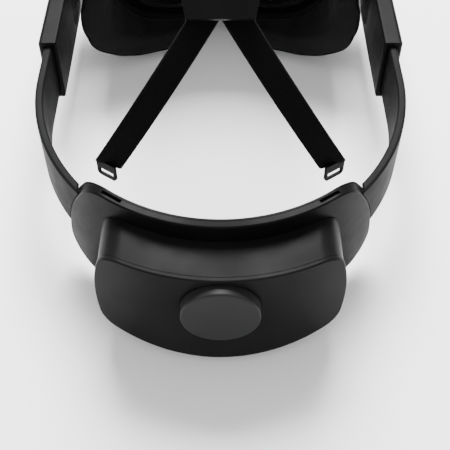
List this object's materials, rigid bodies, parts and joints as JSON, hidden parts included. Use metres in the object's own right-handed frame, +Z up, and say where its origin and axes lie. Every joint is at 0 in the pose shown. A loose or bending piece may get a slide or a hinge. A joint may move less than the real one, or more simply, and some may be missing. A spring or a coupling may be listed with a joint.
{
  "type": "vr headset",
  "caption": "Head-worn virtual reality display with a rear cradle, battery pod, fit dial, tilting temple arms and a clip-on over-head strap.",
  "frame": {"origin": "centre of the footprint, on the surface that the headset stands on", "axes": "+Z up, -Y is where the wearer looks, +X is the wearer's left"},
  "size_m": [0.1892, 0.2972, 0.1845],
  "materials": {
    "shell": "satin",
    "trim": "satin",
    "front": "gloss",
    "soft": "foam with a knitted face",
    "webbing": "woven",
    "band": "satin",
    "metal": "plain",
    "alloy": "bead blasted",
    "gear": "plain",
    "board": "plain",
    "cell": "foil",
    "lens": "clear",
    "screen": "gloss"
  },
  "bodies": {
    "visor": {"visor_housing": "shell", "front_cover": "front", "lens_panel": "shell", "chassis_frame": "alloy", "ipd_rails": "metal", "main_board": "board", "heat_sink": "alloy", "fan_frame": "trim", "tracking_cameras": "screen", "visor_screws": "metal", "strap_anchor": "shell", "front_strap": "webbing", "hinge_pins": "metal"},
    "temple_left": {"temple_arm_left": "shell", "temple_cover_left": "trim", "speaker_left": "screen"},
    "temple_right": {"temple_arm_right": "shell", "temple_cover_right": "trim", "speaker_right": "screen"},
    "rear_cradle": {"cradle_outer_shell": "shell", "cradle_inner_shell": "shell", "occipital_pad": "soft", "tab_guides": "trim", "side_band_left": "band", "side_band_right": "band", "pod_housing": "shell", "pod_back_cover": "shell", "battery_cells": "cell", "battery_board": "board", "charge_port": "metal", "dial_bush": "gear", "detent_spring": "metal", "cradle_screws": "metal", "drive_tape_left": "metal", "drive_tape_right": "metal"},
    "fit_dial": {"dial_knob": "shell", "dial_shaft": "metal", "pinion": "gear", "detent_wheel": "gear", "dial_clip": "metal"},
    "rack_left": {"rack_left": "gear"},
    "rack_right": {"rack_right": "gear"},
    "top_strap": {"strap_leg_left": "webbing", "strap_leg_right": "webbing", "strap_tab_left": "trim", "strap_tab_right": "trim", "crown_strap": "webbing", "yoke_plate": "shell"},
    "eye_left": {"lens_barrel_left": "trim", "eye_lens_left": "lens", "display_left": "screen"},
    "eye_right": {"lens_barrel_right": "trim", "eye_lens_right": "lens", "display_right": "screen"},
    "ipd_knob": {"ipd_knob": "trim"},
    "power_button": {"power_button": "trim"},
    "volume_rocker": {"volume_rocker": "trim"},
    "fan_rotor": {"fan_rotor": "trim"},
    "face_gasket": {"gasket_frame": "trim", "gasket_foam": "soft"}
  },
  "joints": [
    {"name": "temple_tilt", "type": "hinge", "parent": "visor", "child": "temple_left", "pos_m": [0.0897, -0.104, 0.0435], "axis": [1, 0, 0], "range_deg": [0, 12]},
    {"name": "temple_tilt_right", "type": "hinge", "parent": "visor", "child": "temple_right", "pos_m": [-0.0897, -0.104, 0.0435], "axis": [1, 0, 0], "range_deg": [0, 12]},
    {"name": "halo_slide", "type": "slide", "parent": "temple_left", "child": "rear_cradle", "axis": [0, 1, 0], "range_m": [-0.006, 0.02], "deforming": ["drive_tape_left", "drive_tape_right", "detent_spring"]},
    {"name": "dial_turn", "type": "hinge", "parent": "rear_cradle", "child": "fit_dial", "pos_m": [0, 0.146, 0.042], "axis": [0, 1, 0], "range_deg": [-58, 192]},
    {"name": "rack_left_run", "type": "hinge", "parent": "rear_cradle", "child": "rack_left", "pos_m": [0, 0.0437, 0.051], "axis": [0, 0, 1], "range_deg": [-15, 4.6]},
    {"name": "rack_right_run", "type": "hinge", "parent": "rear_cradle", "child": "rack_right", "pos_m": [0, 0.0437, 0.033], "axis": [0, 0, 1], "range_deg": [-4.6, 15]},
    {"name": "top_strap_insert", "type": "slide", "parent": "rear_cradle", "child": "top_strap", "axis": [0, 0, -1], "range_m": [0, 0.017]},
    {"name": "lens_left_slide", "type": "slide", "parent": "visor", "child": "eye_left", "axis": [1, 0, 0], "range_m": [-0.0035, 0.0035]},
    {"name": "lens_right_slide", "type": "slide", "parent": "visor", "child": "eye_right", "axis": [1, 0, 0], "range_m": [-0.0035, 0.0035]},
    {"name": "lens_knob_slide", "type": "slide", "parent": "visor", "child": "ipd_knob", "axis": [1, 0, 0], "range_m": [-0.0035, 0.0035]},
    {"name": "power_press", "type": "slide", "parent": "visor", "child": "power_button", "axis": [0, 0, -1], "range_m": [0, 0.0008], "stiffness_N_per_m": 800},
    {"name": "volume_rock", "type": "hinge", "parent": "visor", "child": "volume_rocker", "pos_m": [-0.034, -0.115, 0.0876], "axis": [0, 1, 0], "range_deg": [-2.5, 2.5], "stiffness_Nm_per_rad": 0.05},
    {"name": "fan_spin", "type": "hinge", "parent": "visor", "child": "fan_rotor", "pos_m": [0, -0.136, 0.064], "axis": [0, 1, 0], "continuous": true},
    {"name": "gasket_pull", "type": "slide", "parent": "visor", "child": "face_gasket", "axis": [0, 1, 0], "range_m": [0, 0.03]}
  ],
  "couplings": [
    {"joint": "temple_tilt_right", "follows": "temple_tilt", "ratio": 1},
    {"joint": "dial_turn", "follows": "halo_slide", "rad_per_m": 166.67},
    {"joint": "rack_left_run", "follows": "halo_slide", "rad_per_m": -12.987},
    {"joint": "rack_right_run", "follows": "halo_slide", "rad_per_m": 12.987},
    {"joint": "lens_right_slide", "follows": "lens_left_slide", "ratio": -1},
    {"joint": "lens_knob_slide", "follows": "lens_left_slide", "ratio": 1}
  ]
}
